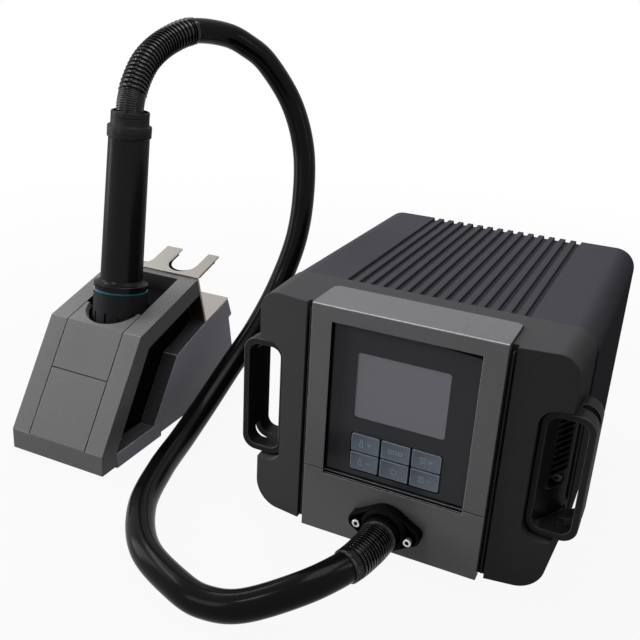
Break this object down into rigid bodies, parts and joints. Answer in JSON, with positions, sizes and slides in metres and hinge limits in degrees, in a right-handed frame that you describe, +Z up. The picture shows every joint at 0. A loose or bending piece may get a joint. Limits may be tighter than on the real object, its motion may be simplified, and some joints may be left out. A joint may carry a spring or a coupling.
{
  "type": "hot air rework station",
  "caption": "Bench blower station with front display and keys, carrying hoops, air hose and a handpiece resting in a separate stand with a fork.",
  "frame": {"origin": "on the bench, at the middle of the object's footprint without the hose and its boots", "axes": "+Z up, +X to the object's right as seen from its front, -Y towards the user at the front"},
  "size_m": [0.4038, 0.3526, 0.3073],
  "materials": {
    "bezel_paint": "fine textured powder coat",
    "housing_paint": "satin dark paint on an aluminium shell",
    "panel_paint": "fine textured grey paint",
    "stand_paint": "fine textured grey paint",
    "stand_dark": "satin dark paint",
    "handle_plastic": "fine grained moulding",
    "black_plastic": "glossy moulded",
    "matte_black": "moulded",
    "smoked_glass": "smoked, satin",
    "display_grey": "unlit display film",
    "key_grey": "satin moulded keys",
    "hose_rubber": "satin extruded tube",
    "boot_rubber": "glossy moulded",
    "foot_rubber": "matte",
    "stainless": "brushed",
    "screw_steel": "bright",
    "zinc_sheet": "zinc plated",
    "aluminium": "plain",
    "circuit_board": "green laminate",
    "accent_blue": "glossy moulded",
    "heat_steel": "heat darkened",
    "ceramic_core": null,
    "filter_foam": "open foam",
    "rocker_red": "glossy moulded",
    "core_iron": "laminated core"
  },
  "bodies": {
    "station": {"housing": "housing_paint", "base_tray": "zinc_sheet", "feet": "foot_rubber", "foot_screws": "screw_steel", "front_bezel": "bezel_paint", "centre_panel_upper": "panel_paint", "centre_panel_lower": "panel_paint", "handle_left": "handle_plastic", "handle_right": "handle_plastic", "handle_screws": "screw_steel", "display_glass": "smoked_glass", "display_module": "display_grey", "control_board": "circuit_board", "tact_switches": "screw_steel", "board_screws": "screw_steel", "hose_flange": "black_plastic", "flange_screws": "screw_steel", "hose_boot_station": "boot_rubber", "hose": "hose_rubber", "rear_panel": "housing_paint", "rear_screws": "screw_steel", "air_filter": "filter_foam", "mains_inlet": "matte_black", "switch_frame": "matte_black", "blower_volute": "matte_black", "blower_motor": "zinc_sheet", "air_duct": "matte_black", "power_board": "circuit_board", "board_spacers": "screw_steel", "heatsink": "aluminium", "transformer": "core_iron", "stand_shell": "stand_paint", "stand_front_upper": "stand_paint", "stand_front_lower": "stand_paint", "stand_block": "stand_dark", "stand_base": "stand_dark", "stand_feet": "foot_rubber", "heat_liner": "heat_steel", "well_deck": "matte_black", "fork_bracket": "stainless", "fork_backing": "matte_black"},
    "key_temp_up_cap": {"key_temp_up": "key_grey"},
    "key_channel_cap": {"key_channel": "key_grey"},
    "key_flow_up_cap": {"key_flow_up": "key_grey"},
    "key_temp_down_cap": {"key_temp_down": "key_grey"},
    "key_power_cap": {"key_power": "key_grey"},
    "key_flow_down_cap": {"key_flow_down": "key_grey"},
    "rocker": {"power_rocker": "rocker_red"},
    "fuse_tray": {"fuse_drawer": "matte_black"},
    "impeller": {"blower_impeller": "aluminium"},
    "handpiece": {"handpiece_tube": "black_plastic", "handpiece_top_ring": "black_plastic", "handpiece_collar": "black_plastic", "accent_ring": "accent_blue", "handpiece_sleeve": "heat_steel", "air_pipe": "matte_black", "heater_tube": "stainless", "heater_core": "ceramic_core", "hose_boot_handle": "boot_rubber"},
    "nozzle_tip": {"nozzle": "stainless"}
  },
  "joints": [
    {"name": "key_temp_up_press", "type": "slide", "parent": "station", "child": "key_temp_up_cap", "axis": [0, 1, 0], "range_m": [0, 0.0004], "stiffness_N_per_m": 500, "springref_m": -0.0002},
    {"name": "key_channel_press", "type": "slide", "parent": "station", "child": "key_channel_cap", "axis": [0, 1, 0], "range_m": [0, 0.0004], "stiffness_N_per_m": 500, "springref_m": -0.0002},
    {"name": "key_flow_up_press", "type": "slide", "parent": "station", "child": "key_flow_up_cap", "axis": [0, 1, 0], "range_m": [0, 0.0004], "stiffness_N_per_m": 500, "springref_m": -0.0002},
    {"name": "key_temp_down_press", "type": "slide", "parent": "station", "child": "key_temp_down_cap", "axis": [0, 1, 0], "range_m": [0, 0.0004], "stiffness_N_per_m": 500, "springref_m": -0.0002},
    {"name": "key_power_press", "type": "slide", "parent": "station", "child": "key_power_cap", "axis": [0, 1, 0], "range_m": [0, 0.0004], "stiffness_N_per_m": 500, "springref_m": -0.0002},
    {"name": "key_flow_down_press", "type": "slide", "parent": "station", "child": "key_flow_down_cap", "axis": [0, 1, 0], "range_m": [0, 0.0004], "stiffness_N_per_m": 500, "springref_m": -0.0002},
    {"name": "rocker_tip", "type": "hinge", "parent": "station", "child": "rocker", "pos_m": [0.0316, 0.117, 0.101], "axis": [1, 0, 0], "range_deg": [0, 14]},
    {"name": "fuse_pull", "type": "slide", "parent": "station", "child": "fuse_tray", "axis": [0, 1, 0], "range_m": [0, 0.012]},
    {"name": "impeller_spin", "type": "hinge", "parent": "station", "child": "impeller", "pos_m": [0.1246, 0.04, 0.02], "axis": [0, 0, 1], "continuous": true},
    {"name": "handpiece_lift", "type": "slide", "parent": "station", "child": "handpiece", "axis": [0, 0.1444, 0.9895], "range_m": [0, 0.13], "deforming": ["hose"]},
    {"name": "nozzle_twist", "type": "hinge", "parent": "handpiece", "child": "nozzle_tip", "pos_m": [-0.1601, -0.0485, 0.0737], "axis": [0, 0.1444, 0.9895], "continuous": true}
  ]
}
